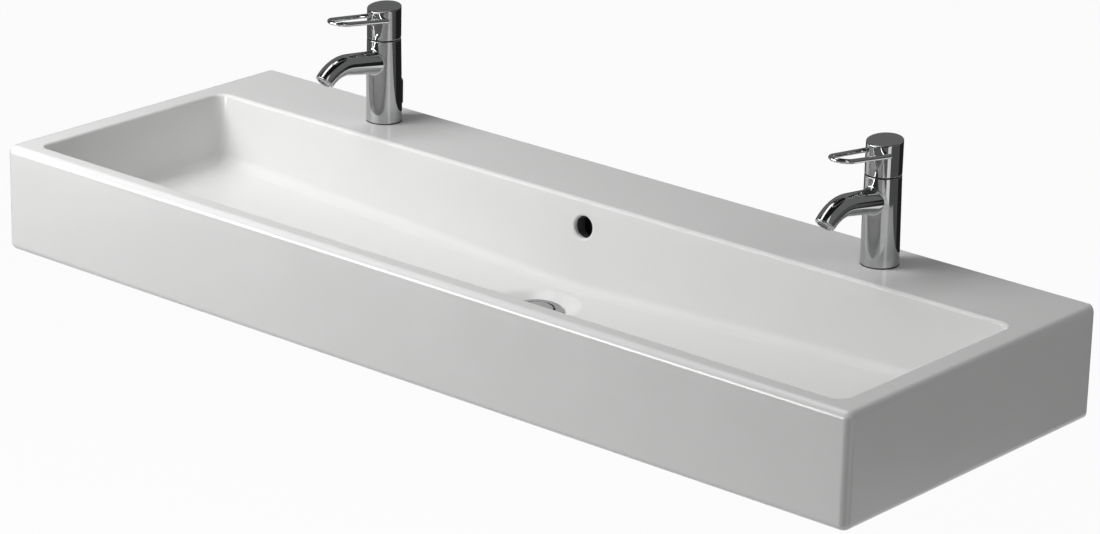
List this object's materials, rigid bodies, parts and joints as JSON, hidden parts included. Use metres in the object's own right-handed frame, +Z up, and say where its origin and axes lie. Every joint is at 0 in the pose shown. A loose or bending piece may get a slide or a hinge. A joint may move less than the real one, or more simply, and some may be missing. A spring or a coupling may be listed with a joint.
{
  "type": "washbasin",
  "caption": "Wide wall-hung trough washbasin in white glazed ceramic with chrome single-lever taps on its back ledge, an overflow hole and a push-open waste.",
  "frame": {"origin": "centre of the two wall-fixing holes, on the back face that meets the wall", "axes": "+X along the basin to the right, +Y towards the wall, +Z up"},
  "size_m": [1.2, 0.425, 0.3288],
  "materials": {
    "glaze": "glossy white glaze",
    "chrome_plate": "polished chrome",
    "raw_brass": "machined brass",
    "zinc_steel": "zinc-plated steel",
    "seal_rubber": "moulded black rubber",
    "inner_plastic": "moulded plastic",
    "disc_ceramic": "ground ceramic"
  },
  "bodies": {
    "basin": {"basin": "glaze", "flange_gasket": "seal_rubber", "waste_flange": "chrome_plate", "plug_latch": "raw_brass", "lower_gasket": "seal_rubber", "waste_nut": "raw_brass", "waste_tail": "chrome_plate", "left_tap_body": "chrome_plate", "left_aerator_ring": "chrome_plate", "left_aerator_screen": "inner_plastic", "left_base_seal": "seal_rubber", "left_mounting_stud": "zinc_steel", "left_clamp_washer": "seal_rubber", "left_clamp_plate": "zinc_steel", "left_clamp_nut": "raw_brass", "left_cartridge_base": "inner_plastic", "left_cartridge_cup": "inner_plastic", "left_cartridge_nut": "raw_brass", "left_fixed_disc": "disc_ceramic", "right_tap_body": "chrome_plate", "right_aerator_ring": "chrome_plate", "right_aerator_screen": "inner_plastic", "right_base_seal": "seal_rubber", "right_mounting_stud": "zinc_steel", "right_clamp_washer": "seal_rubber", "right_clamp_plate": "zinc_steel", "right_clamp_nut": "raw_brass", "right_cartridge_base": "inner_plastic", "right_cartridge_cup": "inner_plastic", "right_cartridge_nut": "raw_brass", "right_fixed_disc": "disc_ceramic"},
    "plug": {"waste_plug": "chrome_plate", "plug_seal": "seal_rubber"},
    "left_rotor": {"left_rotor": "inner_plastic", "left_pivot_pin": "zinc_steel"},
    "left_lever": {"left_handle": "chrome_plate", "left_spindle": "raw_brass", "left_handle_screw": "zinc_steel", "left_screw_cover": "chrome_plate"},
    "left_disc": {"left_moving_disc": "disc_ceramic", "left_disc_carrier": "inner_plastic"},
    "left_lift": {"left_lift_rod": "chrome_plate", "left_lift_knob": "chrome_plate"},
    "right_rotor": {"right_rotor": "inner_plastic", "right_pivot_pin": "zinc_steel"},
    "right_lever": {"right_handle": "chrome_plate", "right_spindle": "raw_brass", "right_handle_screw": "zinc_steel", "right_screw_cover": "chrome_plate"},
    "right_disc": {"right_moving_disc": "disc_ceramic", "right_disc_carrier": "inner_plastic"},
    "right_lift": {"right_lift_rod": "chrome_plate", "right_lift_knob": "chrome_plate"}
  },
  "joints": [
    {"name": "plug_lift", "type": "slide", "parent": "basin", "child": "plug", "axis": [0, 0, 1], "range_m": [0, 0.009]},
    {"name": "left_swivel", "type": "hinge", "parent": "basin", "child": "left_rotor", "pos_m": [-0.359, -0.054, 0.16], "axis": [0, 0, 1], "range_deg": [-45, 45]},
    {"name": "left_tilt", "type": "hinge", "parent": "left_rotor", "child": "left_lever", "pos_m": [-0.359, -0.05, 0.172], "axis": [-1, 0, 0], "range_deg": [0, 15]},
    {"name": "left_disc_slide", "type": "slide", "parent": "left_rotor", "child": "left_disc", "axis": [0, -1, 0], "range_m": [0, 0.0034]},
    {"name": "left_rod_lift", "type": "slide", "parent": "basin", "child": "left_lift", "axis": [0, 0, 1], "range_m": [0, 0.012]},
    {"name": "right_swivel", "type": "hinge", "parent": "basin", "child": "right_rotor", "pos_m": [0.359, -0.054, 0.16], "axis": [0, 0, 1], "range_deg": [-45, 45]},
    {"name": "right_tilt", "type": "hinge", "parent": "right_rotor", "child": "right_lever", "pos_m": [0.359, -0.05, 0.172], "axis": [-1, 0, 0], "range_deg": [0, 15]},
    {"name": "right_disc_slide", "type": "slide", "parent": "right_rotor", "child": "right_disc", "axis": [0, -1, 0], "range_m": [0, 0.0034]},
    {"name": "right_rod_lift", "type": "slide", "parent": "basin", "child": "right_lift", "axis": [0, 0, 1], "range_m": [0, 0.012]}
  ],
  "couplings": [
    {"joint": "left_disc_slide", "follows": "left_tilt", "m_per_rad": 0.0125},
    {"joint": "right_disc_slide", "follows": "right_tilt", "m_per_rad": 0.0125}
  ]
}
